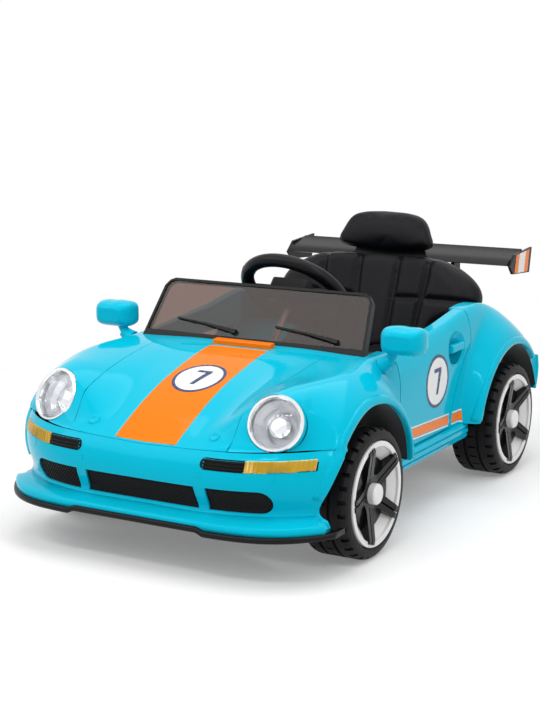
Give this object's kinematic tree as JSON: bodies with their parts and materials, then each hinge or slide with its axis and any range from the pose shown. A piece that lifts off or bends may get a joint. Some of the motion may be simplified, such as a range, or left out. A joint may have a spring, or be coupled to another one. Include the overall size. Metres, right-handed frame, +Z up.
{
  "type": "electric ride on car",
  "caption": "Child's battery ride on sports car, open two-door body with round lamps, tinted windscreen, padded seat, rear wing; steers, rolls and has opening doors.",
  "frame": {"origin": "on the floor under the middle of the overall box", "axes": "+Z up from the floor, nose towards -Y, the car's left side on +X"},
  "size_m": [0.6462, 1.03, 0.4814],
  "materials": {
    "body_turquoise": "smooth gloss",
    "stripe_orange": "smooth gloss",
    "black_plastic": "fine grain",
    "white_plastic": "smooth gloss",
    "tyre_black": "matt moulded",
    "chrome_trim": "polished",
    "clear_lens": "clear",
    "amber_lens": "ribbed clear",
    "red_lens": "ribbed clear",
    "tinted_pane": "tinted",
    "steel": "zinc plated",
    "seat_leather": "grained",
    "mirror_silver": "polished"
  },
  "bodies": {
    "chassis": {"chassis_tray": "black_plastic", "front_fender_left": "body_turquoise", "front_fender_right": "body_turquoise", "bonnet": "body_turquoise", "bonnet_stripe": "stripe_orange", "cowl_panel": "body_turquoise", "rear_quarter_left": "body_turquoise", "rear_quarter_right": "body_turquoise", "rear_deck": "body_turquoise", "front_bumper": "body_turquoise", "bumper_grilles": "black_plastic", "signal_lenses": "amber_lens", "front_lip": "black_plastic", "headlight_bezels": "chrome_trim", "headlight_bowls": "chrome_trim", "headlight_lenses": "clear_lens", "rear_bumper": "body_turquoise", "tail_lamps": "red_lens", "side_sills": "body_turquoise", "front_axle_beam": "steel", "rear_axle": "steel", "rear_gearboxes": "black_plastic", "drive_motors": "steel", "battery": "black_plastic", "control_box": "black_plastic", "seat_shell": "black_plastic", "seat_cushion": "seat_leather", "seat_backrest": "seat_leather", "headrest": "seat_leather", "windscreen_frame": "black_plastic", "windscreen_pane": "tinted_pane", "wipers": "black_plastic", "mirror_housings": "body_turquoise", "mirror_glasses": "mirror_silver", "dashboard": "black_plastic", "rear_wing": "black_plastic", "wing_end_plates": "black_plastic"},
    "door_l": {"door_left": "body_turquoise"},
    "door_r": {"door_right": "body_turquoise"},
    "steering": {"steering_shaft": "steel", "steering_wheel": "black_plastic"},
    "horn": {"horn_pad": "black_plastic"},
    "steer_l": {"knuckle_left": "steel"},
    "steer_r": {"knuckle_right": "steel"},
    "track_rod": {"tie_rod": "steel"},
    "rocker": {"direction_rocker": "black_plastic"},
    "button": {"power_button": "black_plastic"},
    "pedal": {"accelerator_pedal": "black_plastic"},
    "wheel_fl": {"tyre_front_left": "tyre_black", "rim_front_left": "white_plastic", "spokes_front_left": "black_plastic"},
    "wheel_fr": {"tyre_front_right": "tyre_black", "rim_front_right": "white_plastic", "spokes_front_right": "black_plastic"},
    "wheel_rl": {"tyre_rear_left": "tyre_black", "rim_rear_left": "white_plastic", "spokes_rear_left": "black_plastic"},
    "wheel_rr": {"tyre_rear_right": "tyre_black", "rim_rear_right": "white_plastic", "spokes_rear_right": "black_plastic"}
  },
  "joints": [
    {"name": "door_left_hinge", "type": "hinge", "parent": "chassis", "child": "door_l", "pos_m": [0.2635, -0.104, 0.13], "axis": [0, 0, -1], "range_deg": [0, 55]},
    {"name": "door_right_hinge", "type": "hinge", "parent": "chassis", "child": "door_r", "pos_m": [-0.2635, -0.104, 0.13], "axis": [0, 0, 1], "range_deg": [0, 55]},
    {"name": "steering_turn", "type": "hinge", "parent": "chassis", "child": "steering", "pos_m": [0, 0.001, 0.369], "axis": [0, 0.7071, 0.7071], "range_deg": [-40, 40]},
    {"name": "horn_press", "type": "slide", "parent": "steering", "child": "horn", "axis": [0, -0.7071, -0.7071], "range_m": [0, 0.0018], "stiffness_N_per_m": 400},
    {"name": "knuckle_left_turn", "type": "hinge", "parent": "chassis", "child": "steer_l", "pos_m": [0.196, -0.27, 0.106], "axis": [0, 0, 1], "range_deg": [-22.23, 22.23]},
    {"name": "knuckle_right_turn", "type": "hinge", "parent": "chassis", "child": "steer_r", "pos_m": [-0.196, -0.27, 0.106], "axis": [0, 0, 1], "range_deg": [-22.23, 22.23]},
    {"name": "track_rod_turn", "type": "hinge", "parent": "steer_l", "child": "track_rod", "pos_m": [0.196, -0.226, 0.1065], "axis": [0, 0, 1], "range_deg": [-22.23, 22.23]},
    {"name": "wheel_front_left_spin", "type": "hinge", "parent": "steer_l", "child": "wheel_fl", "pos_m": [0.256, -0.27, 0.106], "axis": [1, 0, 0], "continuous": true},
    {"name": "wheel_front_right_spin", "type": "hinge", "parent": "steer_r", "child": "wheel_fr", "pos_m": [-0.256, -0.27, 0.106], "axis": [1, 0, 0], "continuous": true},
    {"name": "wheel_rear_left_spin", "type": "hinge", "parent": "chassis", "child": "wheel_rl", "pos_m": [0.256, 0.31, 0.106], "axis": [1, 0, 0], "continuous": true},
    {"name": "wheel_rear_right_spin", "type": "hinge", "parent": "chassis", "child": "wheel_rr", "pos_m": [-0.256, 0.31, 0.106], "axis": [1, 0, 0], "continuous": true},
    {"name": "rocker_tilt", "type": "hinge", "parent": "chassis", "child": "rocker", "pos_m": [-0.11, -0.082, 0.255], "axis": [1, 0, 0], "range_deg": [-9, 9]},
    {"name": "button_press", "type": "slide", "parent": "chassis", "child": "button", "axis": [0, -1, 0], "range_m": [0, 0.004], "stiffness_N_per_m": 300},
    {"name": "pedal_press", "type": "hinge", "parent": "chassis", "child": "pedal", "pos_m": [-0.1, -0.092, 0.1], "axis": [1, 0, 0], "range_deg": [0, 12], "stiffness_Nm_per_rad": 1}
  ],
  "couplings": [
    {"joint": "knuckle_left_turn", "follows": "steering_turn", "ratio": 0.55556},
    {"joint": "knuckle_right_turn", "follows": "steering_turn", "ratio": 0.55556},
    {"joint": "track_rod_turn", "follows": "steering_turn", "ratio": -0.55556}
  ]
}
